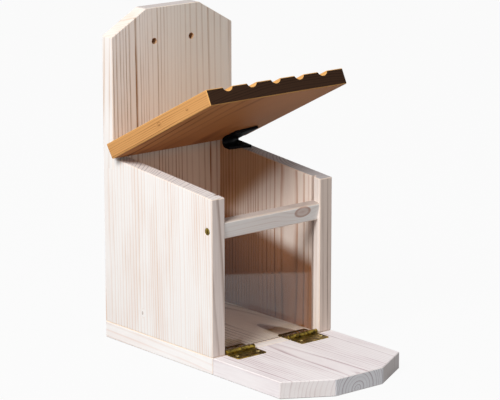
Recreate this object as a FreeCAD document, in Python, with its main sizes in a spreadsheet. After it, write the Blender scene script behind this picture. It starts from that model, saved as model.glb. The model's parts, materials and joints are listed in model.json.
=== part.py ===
import FreeCAD, Part
import Sketcher
import math
import os

# A squirrel feeder box of planed softwood, in millimetres.
# The origin is the middle of the base board's underside, the front looks along -Y, and +Z is up.

SIZES = {
    # the box
    "box_width": 172,
    "box_depth": 192.5,
    "base_thickness": 19,
    "side_thickness": 18,
    "back_thickness": 18,
    "front_height": 195.25,
    "roof_slope": 5.32,
    "shoulder_height": 198.5,
    "back_height": 375,
    "back_corner_width": 48.4,
    "back_corner_height": 27.6,
    "arris": 0.8,
    # the hanging holes in the back board
    "hanging_hole_diameter": 7,
    "hanging_hole_spacing": 52.8,
    "hanging_hole_drop": 38,
    # the window pane and its grooves
    "pane_groove_setback": 10.2,
    "pane_groove_width": 4,
    "pane_groove_depth": 5,
    "pane_thickness": 3,
    "pane_drop": 47.75,
    "pane_clearance": 0.3,
    # the rail over the pane
    "rail_height": 20,
    "rail_thickness": 12,
    "rail_tilt": 10.5,
    "rail_arris": 2,
    "rail_setback": 8.25,
    "rail_drop": 36.35,
    # the lid
    "lid_side_overhang": 10.5,
    "lid_front_overhang": 33.4,
    "lid_thickness": 18,
    "lid_bevel": 8,
    "lid_opening": 26.57,
    "lid_axis_setback": 20.1,
    "lid_rear_reach": 7.2,
    "lid_groove_count": 5,
    "lid_groove_margin": 29.5,
    "lid_groove_radius": 7.1,
    "lid_groove_depth": 5.3,
    # the rubber strip that carries the lid on the right
    "rubber_thickness": 4,
    "rubber_width": 26,
    "rubber_clearance": 0.2,
    "rubber_fold_radius": 6.2,
    "rubber_lower_reach": 14.4,
    "rubber_upper_reach": 30.8,
    "rubber_inset": 8,
    # the landing board
    "landing_length": 142.5,
    "landing_thickness": 19,
    "landing_corner_width": 52.2,
    "landing_corner_length": 30.7,
    "landing_gap": 0.5,
    # the butt hinges
    "hinge_length": 40,
    "left_hinge_gap": 0.5,
    "right_hinge_gap": 4.5,
    "leaf_width": 21.75,
    "leaf_thickness": 1.2,
    "knuckle_count": 5,
    "knuckle_gap": 0.25,
    "pin_diameter": 3,
    "pin_fit": 0.05,
    "pin_end": 0.3,
    "leaf_screw_spacing": 29,
    "leaf_screw_setback": 13,
    "leaf_screw_shank": 3,
    "leaf_screw_head": 4.8,
    "leaf_screw_length": 14,
    # the wood screws and the nails, whose small round forms have this many sides
    "round_sides": 12,
    "screw_shank": 4,
    "screw_head": 8,
    "screw_rim": 0.15,
    "screw_fit": 0.05,
    "screw_point": 0.4,
    "pilot_spare": 1,
    "base_screw_length": 45,
    "base_screw_recess": 0.5,
    "side_screw_inset": 31.25,
    "back_screw_inset": 46,
    "rail_screw_length": 40,
    "rail_screw_recess": 0.3,
    "nail_shank": 2.2,
    "nail_head": 6.5,
    "nail_head_thickness": 0.8,
    "nail_length": 13,
    "nail_sink": 1,
    "panel_nail_setback": 8.6,
    "panel_nail_inset": 12.5,
    "lid_nail_setback": 22.8,
    "lid_nail_spacing": 12,
}

doc = FreeCAD.newDocument("squirrel_feeder")
sheet = doc.addObject("Spreadsheet::Sheet", "sizes")
for row, (alias, value) in enumerate(SIZES.items(), start=1):
    sheet.set(f"A{row}", alias)
    sheet.set(f"B{row}", str(value))
    sheet.setAlias(f"B{row}", alias)
doc.recompute()

# Places and derived sizes, as expressions of the sheet's cells.
LEFT = "(-sizes.box_width / 2)"
RIGHT = "(sizes.box_width / 2)"
FRONT = "(-sizes.box_depth / 2)"
REAR = "(sizes.box_depth / 2)"
INNER_HALF = "(sizes.box_width / 2 - sizes.side_thickness)"
FLOOR = "sizes.base_thickness"
BACK_FACE = f"({REAR} - sizes.back_thickness)"
PANEL_MIDDLE = "(sizes.box_width / 2 - sizes.side_thickness / 2)"
KNUCKLE_RADIUS = "(sizes.pin_diameter / 2 + sizes.pin_fit + sizes.leaf_thickness)"
KNUCKLE_STEP = "(sizes.hinge_length / sizes.knuckle_count)"
PIN_Y = f"({FRONT} - sizes.landing_gap / 2)"
PIN_Z = f"({FLOOR} + {KNUCKLE_RADIUS})"
LEFT_HINGE_X = f"(-{INNER_HALF} + sizes.left_hinge_gap + sizes.hinge_length / 2)"
RIGHT_HINGE_X = f"({INNER_HALF} - sizes.right_hinge_gap - sizes.hinge_length / 2)"
PANE_Y = f"({FRONT} + sizes.pane_groove_setback + sizes.pane_groove_width / 2)"
PANE_FOOT = f"({FLOOR} + sizes.leaf_thickness + sizes.pane_clearance)"
PANE_HEAD = "(sizes.front_height - sizes.pane_drop)"
RAIL_Y = f"({FRONT} + sizes.rail_setback)"
RAIL_Z = "(sizes.front_height - sizes.rail_drop)"
HOLE_Z = "(sizes.back_height - sizes.hanging_hole_drop)"
SIDE_SCREW_Y = "(sizes.box_depth / 2 - sizes.side_screw_inset)"
BACK_SCREW_X = "(sizes.box_width / 2 - sizes.back_screw_inset)"
BACK_SCREW_Y = f"({REAR} - sizes.back_thickness / 2)"
PILOT_DEPTH = "(sizes.base_screw_length - sizes.base_thickness + sizes.pilot_spare)"
LID_AXIS_Y = f"({BACK_FACE} - sizes.lid_axis_setback)"
LID_WIDTH = "(sizes.box_width + 2 * sizes.lid_side_overhang)"
LID_LENGTH = f"({LID_AXIS_Y} + sizes.lid_rear_reach - {FRONT} + sizes.lid_front_overhang)"
FIRST_LID_NAIL_X = f"({RIGHT} - sizes.rubber_inset - (sizes.rubber_width + sizes.lid_nail_spacing) / 2)"
GROOVE_PITCH = f"(({LID_WIDTH} - 2 * sizes.lid_groove_margin) / (sizes.lid_groove_count - 1))"
# the flats of a small round form are this much nearer to its middle than its corners
FLATS = "cos(180 / sizes.round_sides)"
# a length or a volume that counts as none
NEAR = 0.01


def panel_top(y):
    """Height of the side panels' sloped top at y."""
    return f"(sizes.front_height + ({y} - {FRONT}) * tan(sizes.roof_slope))"


LID_AXIS_Z = f"({panel_top(LID_AXIS_Y)} + sizes.rubber_thickness / cos(sizes.roof_slope))"


def on_lid(forward, below):
    """Y and Z of a point that lies so far in front of the lid's axis and below the lid's underside."""
    drop = f"(sizes.rubber_thickness - {below})"
    y = f"({LID_AXIS_Y} - {forward} * cos(sizes.lid_opening) + {drop} * sin(sizes.lid_opening))"
    z = f"({LID_AXIS_Z} + {forward} * sin(sizes.lid_opening) + {drop} * cos(sizes.lid_opening))"
    return y, z


def number(expression):
    """Value of an expression of the sheet's cells."""
    return float(sheet.evalExpression(expression.replace("sizes.", "")))


def require(condition, message):
    if not condition:
        raise RuntimeError(message)


# Modelling steps that every piece uses.

def new_body(name):
    body = doc.addObject("PartDesign::Body", name)
    body.Label = name
    return body


def origin_feature(body, role):
    return next(item for item in body.Origin.OriginFeatures if item.Role == role)


def new_sketch(body, name, plane, height="0"):
    """Sketch on one of the body's origin planes, raised along the plane's normal."""
    sketch = body.newObject("Sketcher::SketchObject", name)
    sketch.AttachmentSupport = [(origin_feature(body, plane), "")]
    sketch.MapMode = "FlatFace"
    sketch.setExpression("AttachmentOffset.Base.z", height)
    return sketch


def pin_point(sketch, geometry, vertex, x, y):
    """Holds a sketch point at the coordinates that two expressions give."""
    for axis, expression in (("X", x), ("Y", y)):
        rule = Sketcher.Constraint("Distance" + axis, -1, 1, geometry, vertex, number(expression))
        index = sketch.addConstraint(rule)
        name = f"point{geometry}{axis}"
        sketch.renameConstraint(index, name)
        sketch.setExpression("Constraints." + name, expression)


def outline(sketch, corners):
    """Closed outline with straight sides through the corners."""
    places = [FreeCAD.Vector(number(x), number(y), 0) for x, y in corners]
    count = len(places)
    for index, place in enumerate(places):
        sketch.addGeometry(Part.LineSegment(place, places[(index + 1) % count]))
    for index in range(count):
        sketch.addConstraint(Sketcher.Constraint("Coincident", index, 2, (index + 1) % count, 1))
    for index, (x, y) in enumerate(corners):
        pin_point(sketch, index, 1, x, y)


def rectangle(sketch, low, high):
    outline(sketch, [low, (high[0], low[1]), high, (low[0], high[1])])


def circle(sketch, x, y, diameter):
    centre = FreeCAD.Vector(number(x), number(y), 0)
    radius = number(diameter) / 2
    index = sketch.addGeometry(Part.Circle(centre, FreeCAD.Vector(0, 0, 1), radius))
    pin_point(sketch, index, 3, x, y)
    rule = sketch.addConstraint(Sketcher.Constraint("Diameter", index, radius * 2))
    name = f"diameter{index}"
    sketch.renameConstraint(rule, name)
    sketch.setExpression("Constraints." + name, diameter)


def pad(body, sketch, name, length, centred=False):
    feature = body.newObject("PartDesign::Pad", name)
    feature.Profile = sketch
    feature.setExpression("Length", length)
    feature.Midplane = centred
    doc.recompute()
    return feature


def must_cut(body, feature, before):
    doc.recompute()
    require(body.Shape.Volume < before - NEAR, f"{feature.Name} cuts nothing from {body.Label}")
    return feature


def pocket(body, sketch, name, length=None, flip=False):
    """Pocket of a given depth, or right through both ways from the sketch."""
    before = body.Shape.Volume
    feature = body.newObject("PartDesign::Pocket", name)
    feature.Profile = sketch
    if length is None:
        feature.Type = "ThroughAll"
        feature.Midplane = True
    else:
        feature.setExpression("Length", length)
        feature.Reversed = flip
    return must_cut(body, feature, before)


def pose(x, y, z, axis=(0, 0, 1), angle="0"):
    """Expression for a placement at a point, turned about an axis."""
    turn = f"create(<<rotation>>; create(<<vector>>; {axis[0]}; {axis[1]}; {axis[2]}); {angle})"
    return f"create(<<placement>>; create(<<vector>>; {x}; {y}; {z}); {turn})"


def small_round(body, kind, name, diameter, length, place):
    """Small round pin (Additive) or hole (Subtractive) along the placement's +Z, with a few sides."""
    feature = body.newObject(f"PartDesign::{kind}Prism", name)
    feature.setExpression("Polygon", "sizes.round_sides")
    feature.setExpression("Circumradius", f"({diameter}) / 2")
    feature.setExpression("Height", length)
    feature.setExpression("Placement", place)
    doc.recompute()
    return feature


def pilot_hole(body, name, diameter, depth, place):
    """Blind hole for a screw's or a nail's shank, along the placement's +Z."""
    before = body.Shape.Volume
    hole = small_round(body, "Subtractive", name, f"{diameter} + 2 * sizes.screw_fit", depth, place)
    return must_cut(body, hole, before)


def bevel(body, name, size, test):
    """Chamfers the straight edges whose two ends pass the test."""
    return dress(body, "Chamfer", name, "Size", size, test)


def rounded(body, name, radius, test):
    """Rounds the straight edges whose two ends pass the test."""
    return dress(body, "Fillet", name, "Radius", radius, test)


def dress(body, kind, name, setting, size, test):
    """Chamfer or Fillet of the edges whose two ends pass the test, its Size or Radius set by an expression."""
    tip = body.Tip
    edges = []
    for index, edge in enumerate(tip.Shape.Edges, start=1):
        ends = [vertex.Point for vertex in edge.Vertexes]
        if len(ends) == 2 and test(*ends):
            edges.append(f"Edge{index}")
    feature = body.newObject("PartDesign::" + kind, name)
    feature.Base = (tip, edges)
    feature.setExpression(setting, size)
    doc.recompute()
    return feature


def around(place, reach):
    """Test for edges round the start of a hole that begins at the placement."""
    inward = place.inverse()

    def on_rim(start, end):
        points = [inward.multVec(point) for point in (start, end)]
        return all(abs(point.z) < NEAR and math.hypot(point.x, point.y) < reach for point in points)

    return on_rim


def screw_holes(body, name, head, shank, recess, depth, places):
    """Holes along the placements' +Z, countersunk where they begin."""
    diameter = f"{shank} + 2 * sizes.screw_fit"
    size = f"({head} - {shank}) / 2 * {FLATS} + {recess} + sizes.screw_rim + sizes.screw_fit"
    for index, place in enumerate(places, start=1):
        before = body.Shape.Volume
        hole = small_round(body, "Subtractive", f"{name}_hole{index}", diameter, depth, place)
        rim = around(hole.Placement, number(f"({diameter}) / 2") + NEAR)
        must_cut(body, bevel(body, f"{name}_countersink{index}", size, rim), before)


def row_of(body, features, name, axis, step, count):
    """Copies of features in a line along one of the body's axes."""
    feature = body.newObject("PartDesign::LinearPattern", name)
    feature.Originals = features
    feature.Direction = (origin_feature(body, axis + "_Axis"), [""])
    feature.setExpression("Length", f"{step} * ({count} - 1)")
    feature.setExpression("Occurrences", count)
    body.Tip = feature
    doc.recompute()
    return feature


def every_edge(start, end):
    return True


def put(body, x, y, z, axis=(0, 0, 1), angle="0"):
    body.setExpression("Placement", pose(x, y, z, axis, angle))
    doc.recompute()
    return body


# The wooden box.

def base_board():
    body = new_body("base_board")
    sketch = new_sketch(body, "base_outline", "XY_Plane")
    rectangle(sketch, (LEFT, FRONT), (RIGHT, REAR))
    pad(body, sketch, "base_pad", FLOOR)
    bevel(body, "base_arris", "sizes.arris", every_edge)
    side_rows = (f"-{SIDE_SCREW_Y}", "0", SIDE_SCREW_Y)
    places = [(x, y) for x in (f"-{PANEL_MIDDLE}", PANEL_MIDDLE) for y in side_rows]
    places += [(x, BACK_SCREW_Y) for x in (f"-{BACK_SCREW_X}", BACK_SCREW_X)]
    screw_holes(body, "base_screw", "sizes.screw_head", "sizes.screw_shank", "sizes.base_screw_recess",
                FLOOR, [pose(x, y, "0") for x, y in places])
    leaf_pilot_holes(body, 1)
    return body


def leaf_pilot_holes(body, way):
    """Pilot holes for the hinge leaves' screws, behind the pins (way 1) or before them (way -1)."""
    level = f"{FLOOR} + sizes.leaf_thickness - sizes.leaf_screw_length"
    for side, centre in (("left", LEFT_HINGE_X), ("right", RIGHT_HINGE_X)):
        hole = pilot_hole(
            body, f"{side}_leaf_pilot", "sizes.leaf_screw_shank", "sizes.leaf_screw_length",
            pose(f"{centre} - sizes.leaf_screw_spacing / 2", f"{PIN_Y} + {way} * sizes.leaf_screw_setback", level))
        row_of(body, [hole], f"{side}_leaf_pilots", "X", "sizes.leaf_screw_spacing", "2")


def side_panel(name, way):
    """Upright side: way is -1 on the left and 1 on the right."""
    body = new_body(name)
    low_x = LEFT if way < 0 else INNER_HALF
    inner_x = f"({way} * {INNER_HALF})"
    outer_x = LEFT if way < 0 else RIGHT
    sketch = new_sketch(body, "panel_outline", "YZ_Plane", low_x)
    outline(sketch, [
        (FRONT, FLOOR), (REAR, FLOOR), (REAR, "sizes.shoulder_height"),
        (BACK_FACE, "sizes.shoulder_height"), (BACK_FACE, panel_top(BACK_FACE)),
        (FRONT, "sizes.front_height")])
    pad(body, sketch, "panel_pad", "sizes.side_thickness")
    notch_y = number(BACK_FACE) - NEAR
    notch_z = number("sizes.shoulder_height") - NEAR
    bevel(body, "panel_arris", "sizes.arris",
          lambda start, end: min(start.y, end.y) < notch_y or min(start.z, end.z) < notch_z)
    groove = new_sketch(body, "pane_groove_outline", "YZ_Plane", inner_x)
    groove_front = f"({FRONT} + sizes.pane_groove_setback)"
    rectangle(groove, (groove_front, FLOOR),
              (f"{groove_front} + sizes.pane_groove_width", panel_top(REAR)))
    pocket(body, groove, "pane_groove", "sizes.pane_groove_depth", flip=way > 0)
    screw_holes(body, "rail_screw", "sizes.screw_head", "sizes.screw_shank", "sizes.rail_screw_recess",
                "sizes.side_thickness", [pose(outer_x, RAIL_Y, RAIL_Z, (0, -way, 0), "90")])
    pilot = pilot_hole(body, "base_screw_pilot", "sizes.screw_shank", PILOT_DEPTH,
                       pose(f"{way} * {PANEL_MIDDLE}", f"-{SIDE_SCREW_Y}", FLOOR))
    row_of(body, [pilot], "base_screw_pilots", "Y", SIDE_SCREW_Y, "3")
    if way > 0:
        pilot_hole(body, "nail_pilot", "sizes.nail_shank", "sizes.nail_length + sizes.pilot_spare",
                   pose(*panel_nail_place(), (1, 0, 0), "180 + sizes.roof_slope"))
    return body


def back_board():
    body = new_body("back_board")
    sketch = new_sketch(body, "back_outline", "XZ_Plane", f"-{REAR}")
    corner_x = "(sizes.box_width / 2 - sizes.back_corner_width)"
    corner_z = "sizes.back_height - sizes.back_corner_height"
    outline(sketch, [
        (f"-{INNER_HALF}", FLOOR), (INNER_HALF, FLOOR), (INNER_HALF, "sizes.shoulder_height"),
        (RIGHT, "sizes.shoulder_height"), (RIGHT, corner_z), (corner_x, "sizes.back_height"),
        (f"-{corner_x}", "sizes.back_height"), (LEFT, corner_z),
        (LEFT, "sizes.shoulder_height"), (f"-{INNER_HALF}", "sizes.shoulder_height")])
    pad(body, sketch, "back_pad", "sizes.back_thickness")
    shoulder = number("sizes.shoulder_height")
    bevel(body, "back_arris", "sizes.arris",
          lambda start, end: min(start.z, end.z) > shoulder - NEAR and max(start.z, end.z) > shoulder + NEAR)
    holes = new_sketch(body, "hanging_hole_places", "XZ_Plane", f"-{REAR}")
    for x in ("-sizes.hanging_hole_spacing / 2", "sizes.hanging_hole_spacing / 2"):
        circle(holes, x, HOLE_Z, "sizes.hanging_hole_diameter")
    pocket(body, holes, "hanging_holes")
    pilot = pilot_hole(body, "base_screw_pilot", "sizes.screw_shank", PILOT_DEPTH,
                       pose(f"-{BACK_SCREW_X}", BACK_SCREW_Y, FLOOR))
    row_of(body, [pilot], "base_screw_pilots", "X", f"2 * {BACK_SCREW_X}", "2")
    return body


def front_rail():
    """Tilted rail with rounded edges, screwed between the panels."""
    body = new_body("front_rail")
    sketch = new_sketch(body, "rail_outline", "YZ_Plane", f"-{INNER_HALF}")
    rectangle(sketch, ("-sizes.rail_thickness / 2", "-sizes.rail_height / 2"),
              ("sizes.rail_thickness / 2", "sizes.rail_height / 2"))
    pad(body, sketch, "rail_pad", f"2 * {INNER_HALF}")
    rounded(body, "rail_round", "sizes.rail_arris", lambda start, end: abs(start.x - end.x) > NEAR)
    depth = "sizes.rail_screw_length - sizes.side_thickness + sizes.rail_screw_recess + sizes.pilot_spare"
    for side, way in (("left", -1), ("right", 1)):
        pilot_hole(body, f"{side}_screw_pilot", "sizes.screw_shank", depth,
                   pose(f"{way} * {INNER_HALF}", "0", "0", (0, -way, 0), "90"))
    return put(body, "0", RAIL_Y, RAIL_Z, (1, 0, 0), "sizes.rail_tilt")


def window_pane():
    body = new_body("window_pane")
    sketch = new_sketch(body, "pane_outline", "XZ_Plane", f"-{PANE_Y} - sizes.pane_thickness / 2")
    half = f"({INNER_HALF} + sizes.pane_groove_depth - sizes.pane_clearance)"
    rectangle(sketch, (f"-{half}", PANE_FOOT), (half, PANE_HEAD))
    pad(body, sketch, "pane_pad", "sizes.pane_thickness")
    return body


# The lid, flat in its own frame: y 0 is its rear bottom edge and its underside is z 0.

def roof_lid():
    body = new_body("roof_lid")
    sketch = new_sketch(body, "lid_outline", "YZ_Plane")
    outline(sketch, [
        (f"-{LID_LENGTH}", "0"), ("0", "0"),
        ("sizes.lid_thickness * tan(sizes.lid_bevel)", "sizes.lid_thickness"),
        (f"-{LID_LENGTH}", "sizes.lid_thickness")])
    pad(body, sketch, "lid_pad", LID_WIDTH, centred=True)
    bevel(body, "lid_arris", "sizes.arris", every_edge)
    groove = new_sketch(body, "rain_groove_outline", "XZ_Plane")
    circle(groove, f"-{LID_WIDTH} / 2 + sizes.lid_groove_margin",
           "sizes.lid_thickness - sizes.lid_groove_depth + sizes.lid_groove_radius",
           "2 * sizes.lid_groove_radius")
    rain_groove = pocket(body, groove, "rain_groove")
    row_of(body, [rain_groove], "rain_grooves", "X", GROOVE_PITCH, "sizes.lid_groove_count")
    nail_depth = "sizes.nail_length - sizes.rubber_thickness + sizes.nail_sink + sizes.pilot_spare"
    nail_y = "-sizes.lid_rear_reach - sizes.lid_nail_setback"
    pilot = pilot_hole(body, "nail_pilot", "sizes.nail_shank", nail_depth, pose(FIRST_LID_NAIL_X, nail_y, "0"))
    row_of(body, [pilot], "nail_pilots", "X", "sizes.lid_nail_spacing", "2")
    y, z = on_lid("-sizes.lid_rear_reach", "0")
    return put(body, "0", y, z, (-1, 0, 0), "sizes.lid_opening")


# The landing board.

def landing_board():
    body = new_body("landing_board")
    sketch = new_sketch(body, "landing_outline", "XY_Plane", f"{FLOOR} - sizes.landing_thickness")
    rear = f"({FRONT} - sizes.landing_gap)"
    front = f"({rear} - sizes.landing_length)"
    corner_x = "(sizes.box_width / 2 - sizes.landing_corner_width)"
    corner_y = f"({front} + sizes.landing_corner_length)"
    outline(sketch, [
        (LEFT, rear), (LEFT, corner_y), (f"-{corner_x}", front),
        (corner_x, front), (RIGHT, corner_y), (RIGHT, rear)])
    pad(body, sketch, "landing_pad", "sizes.landing_thickness")
    bevel(body, "landing_arris", "sizes.arris", every_edge)
    leaf_pilot_holes(body, -1)
    return body


# The butt hinges, each in its own frame: the pin runs along X and the leaf reaches along +Y.

def hinge_leaf(name, knuckles, first):
    """Leaf with rolled knuckles, in every second place from the first one."""
    body = new_body(name)
    foot = f"-{KNUCKLE_RADIUS}"
    top = f"(-{KNUCKLE_RADIUS} + sizes.leaf_thickness)"
    half = "(sizes.hinge_length / 2)"
    plate_edge = f"({KNUCKLE_RADIUS} + sizes.knuckle_gap)"
    plate = new_sketch(body, "plate_outline", "XY_Plane", foot)
    rectangle(plate, (f"-{half}", plate_edge), (half, "sizes.leaf_width"))
    pad(body, plate, "plate", "sizes.leaf_thickness")
    bevel(body, "plate_corners", "sizes.leaf_thickness",
          lambda start, end: abs(start.z - end.z) > NEAR and start.y > number(plate_edge) + NEAR)
    start_x = f"(-{half} + {first} * {KNUCKLE_STEP} + sizes.knuckle_gap / 2)"
    length = f"({KNUCKLE_STEP} - sizes.knuckle_gap)"
    tongue_outline = new_sketch(body, "tongue_outline", "YZ_Plane", start_x)
    rectangle(tongue_outline, ("sizes.pin_diameter / 4", foot), (f"{plate_edge} + sizes.leaf_thickness", top))
    tongue = pad(body, tongue_outline, "tongue", length)
    ring = new_sketch(body, "knuckle_outline", "YZ_Plane", start_x)
    circle(ring, "0", "0", f"2 * {KNUCKLE_RADIUS}")
    circle(ring, "0", "0", "sizes.pin_diameter + 2 * sizes.pin_fit")
    knuckle = pad(body, ring, "knuckle", length)
    row_of(body, [tongue, knuckle], "knuckles", "X", f"2 * {KNUCKLE_STEP}", knuckles)
    half_spacing = "sizes.leaf_screw_spacing / 2"
    places = [pose(x, "sizes.leaf_screw_setback", top, (1, 0, 0), "180") for x in (f"-{half_spacing}", half_spacing)]
    screw_holes(body, "screw", "sizes.leaf_screw_head", "sizes.leaf_screw_shank", "0", "sizes.leaf_thickness", places)
    return body


def hinge_pin(name):
    """Pin that stands a little proud of the knuckles."""
    body = new_body(name)
    sketch = new_sketch(body, "pin_outline", "YZ_Plane")
    circle(sketch, "0", "0", "sizes.pin_diameter")
    pad(body, sketch, "pin_pad", "sizes.hinge_length + 2 * sizes.pin_end", centred=True)
    return body


def butt_hinge(side, centre):
    back_knuckles = "ceil(sizes.knuckle_count / 2)"
    front_knuckles = "floor(sizes.knuckle_count / 2)"
    base_leaf = put(hinge_leaf(f"{side}_hinge_base_leaf", back_knuckles, 0), centre, PIN_Y, PIN_Z)
    landing_leaf = put(hinge_leaf(f"{side}_hinge_landing_leaf", front_knuckles, 1),
                       centre, PIN_Y, PIN_Z, (0, 0, 1), "180")
    pin = put(hinge_pin(f"{side}_hinge_pin"), centre, PIN_Y, PIN_Z)
    first_x = f"{centre} - sizes.leaf_screw_spacing / 2"
    level = f"{FLOOR} + sizes.leaf_thickness"
    pieces = [base_leaf, landing_leaf, pin]
    for board, way in (("base", 1), ("landing", -1)):
        screws = wood_screws(f"{side}_{board}_leaf_screws", "sizes.leaf_screw_head", "sizes.leaf_screw_shank",
                             "sizes.leaf_screw_length", "sizes.leaf_screw_spacing", 2)
        pieces.append(put(screws, first_x, f"{PIN_Y} + {way} * sizes.leaf_screw_setback", level))
    return pieces


# Screws and nails, each in its own frame: the head's face is z 0 and the shank points down.

def wood_screws(name, head, shank, length, step="0", count=1):
    """Countersunk wood screws in a row along X."""
    body = new_body(name)
    cone = f"(({head} - {shank}) / 2 * {FLATS})"
    head_foot = f"(-{cone} - sizes.screw_rim)"
    for index in range(count):
        small_round(body, "Additive", f"head{index + 1}", head, f"-{head_foot}",
                    pose(f"{index} * {step}", "0", head_foot))
    bevel(body, "head_cones", cone, at_level(head_foot))
    return add_shanks(body, shank, length, head_foot, step, count)


def clout_nails(name, step="0", count=1):
    """Flat headed nails in a row along X."""
    body = new_body(name)
    head_foot = "(-sizes.nail_head_thickness)"
    for index in range(count):
        small_round(body, "Additive", f"head{index + 1}", "sizes.nail_head", "sizes.nail_head_thickness",
                    pose(f"{index} * {step}", "0", head_foot))
    return add_shanks(body, "sizes.nail_shank", "sizes.nail_length", head_foot, step, count)


def add_shanks(body, shank, length, top, step, count):
    """Pointed shanks below the heads of a row."""
    for index in range(count):
        small_round(body, "Additive", f"shank{index + 1}", shank, f"{length} + {top}",
                    pose(f"{index} * {step}", "0", f"-{length}"))
    bevel(body, "points", f"{shank} * sizes.screw_point", at_level(f"-{length}"))
    return body


def at_level(level):
    """Test for edges that lie in the horizontal plane at the level."""
    height = number(level)
    return lambda start, end: abs(start.z - height) < NEAR and abs(end.z - height) < NEAR


def box_screws():
    """Screws through the base into the panels and the back board, and through the panels into the rail."""
    pieces = []
    recess = "sizes.base_screw_recess"
    head, shank, length = "sizes.screw_head", "sizes.screw_shank", "sizes.base_screw_length"
    for side, way in (("left", -1), ("right", 1)):
        screws = wood_screws(f"{side}_panel_screws", head, shank, length, SIDE_SCREW_Y, 3)
        # half a turn about the diagonal points the screws up and lays their row along Y
        pieces.append(put(screws, f"{way} * {PANEL_MIDDLE}", f"-{SIDE_SCREW_Y}", recess, (1, 1, 0), "180"))
        screw = wood_screws(f"{side}_rail_screw", head, shank, "sizes.rail_screw_length")
        face = f"{way} * (sizes.box_width / 2 - sizes.rail_screw_recess)"
        pieces.append(put(screw, face, RAIL_Y, RAIL_Z, (0, way, 0), "90"))
    screws = wood_screws("back_board_screws", head, shank, length, f"2 * {BACK_SCREW_X}", 2)
    pieces.append(put(screws, f"-{BACK_SCREW_X}", BACK_SCREW_Y, recess, (1, 0, 0), "180"))
    return pieces


# The folded rubber strip, nailed on the right panel's top and under the lid.

def panel_nail_place():
    """Place of the head's face of the nail in the strip's lower half, sunk a little into the rubber."""
    rise = "(sizes.rubber_thickness - sizes.nail_sink)"
    y = f"({LID_AXIS_Y} - sizes.panel_nail_setback)"
    z = f"({panel_top(y)} + {rise} * cos(sizes.roof_slope))"
    return "(sizes.box_width / 2 - sizes.panel_nail_inset)", f"({y} - {rise} * sin(sizes.roof_slope))", z


def strip_section(x):
    """Closed section of the folded strip in the plane at x, its fold wedged between panel and lid."""
    slope = math.radians(number("sizes.roof_slope"))
    opening = math.radians(number("sizes.lid_opening"))
    thickness = number("sizes.rubber_thickness")
    outer_radius = number("sizes.rubber_fold_radius")
    lid_y, lid_z = (number(value) for value in on_lid("0", "sizes.rubber_clearance"))
    panel_z = number(panel_top(LID_AXIS_Y))
    down = FreeCAD.Vector(0, -math.cos(slope), -math.sin(slope))
    up = FreeCAD.Vector(0, -math.cos(opening), math.sin(opening))
    above = FreeCAD.Vector(0, -math.sin(slope), math.cos(slope))
    below = FreeCAD.Vector(0, -math.sin(opening), -math.cos(opening))
    on_panel = FreeCAD.Vector(x, number(LID_AXIS_Y), panel_z)
    on_board = FreeCAD.Vector(x, lid_y, lid_z)
    # the wedge's apex is where the panel's top meets the lid's underside
    to_apex = (on_board - on_panel).dot(below) / down.dot(below)
    apex = on_panel + down * to_apex
    tangent = outer_radius / math.tan((slope + opening) / 2)
    lower_reach = apex.y - number(LID_AXIS_Y) + number("sizes.rubber_lower_reach")
    low_end = apex + down * (lower_reach / math.cos(slope))
    high_end = on_board + up * number("sizes.rubber_upper_reach")
    low_turn = apex + down * tangent
    high_turn = apex + up * tangent
    centre = low_turn + above * outer_radius
    rearward = (apex - centre).normalize()
    inner_radius = outer_radius - thickness
    low_inner = centre - above * inner_radius
    high_inner = centre - below * inner_radius
    edges = [
        Part.LineSegment(low_end, low_turn),
        Part.Arc(low_turn, centre + rearward * outer_radius, high_turn),
        Part.LineSegment(high_turn, high_end),
        Part.LineSegment(high_end, high_end + below * thickness),
        Part.LineSegment(high_end + below * thickness, high_inner),
        Part.Arc(high_inner, centre + rearward * inner_radius, low_inner),
        Part.LineSegment(low_inner, low_end + above * thickness),
        Part.LineSegment(low_end + above * thickness, low_end)]
    return Part.Wire([edge.toShape() for edge in edges])


def nail_slot(place, offset):
    """Room that a nail's head and shank leave in the rubber, the offset along the row of nails."""
    room = number("sizes.rubber_clearance")
    thickness = number("sizes.rubber_thickness")
    seat = number("sizes.nail_head_thickness") + room

    def part(diameter, foot, length):
        count = int(number("sizes.round_sides"))
        radius = number(diameter) / 2 + room
        corners = [
            FreeCAD.Vector(offset + radius * math.cos(2 * math.pi * index / count),
                           radius * math.sin(2 * math.pi * index / count), foot)
            for index in range(count)]
        face = Part.Face(Part.makePolygon(corners + corners[:1]))
        return face.extrude(FreeCAD.Vector(0, 0, length))

    slot = part("sizes.nail_head", -seat, seat + thickness)
    slot = slot.fuse(part("sizes.nail_shank", -2 * thickness, 2 * thickness))
    slot.Placement = place
    return slot


def rubber_hinge(name, panel_nail, lid_nails):
    """Folded strip, with room for its nails."""
    section = strip_section(number(f"{RIGHT} - sizes.rubber_inset - sizes.rubber_width"))
    strip = Part.Face(section).extrude(FreeCAD.Vector(number("sizes.rubber_width"), 0, 0))
    strip = strip.cut(nail_slot(panel_nail.Placement, 0))
    for offset in (0, number("sizes.lid_nail_spacing")):
        strip = strip.cut(nail_slot(lid_nails.Placement, offset))
    feature = doc.addObject("Part::Feature", name)
    feature.Label = name
    feature.Shape = strip
    return feature


def nailed_strip():
    panel_nail = put(clout_nails("right_panel_nails"), *panel_nail_place(), (1, 0, 0), "sizes.roof_slope")
    lid_nails = clout_nails("right_lid_nails", "sizes.lid_nail_spacing", 2)
    y, z = on_lid("sizes.lid_nail_setback", "(sizes.rubber_thickness - sizes.nail_sink)")
    put(lid_nails, FIRST_LID_NAIL_X, y, z, (1, 0, 0), "180 - sizes.lid_opening")
    return [panel_nail, lid_nails, rubber_hinge("right_rubber_hinge", panel_nail, lid_nails)]


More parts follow.
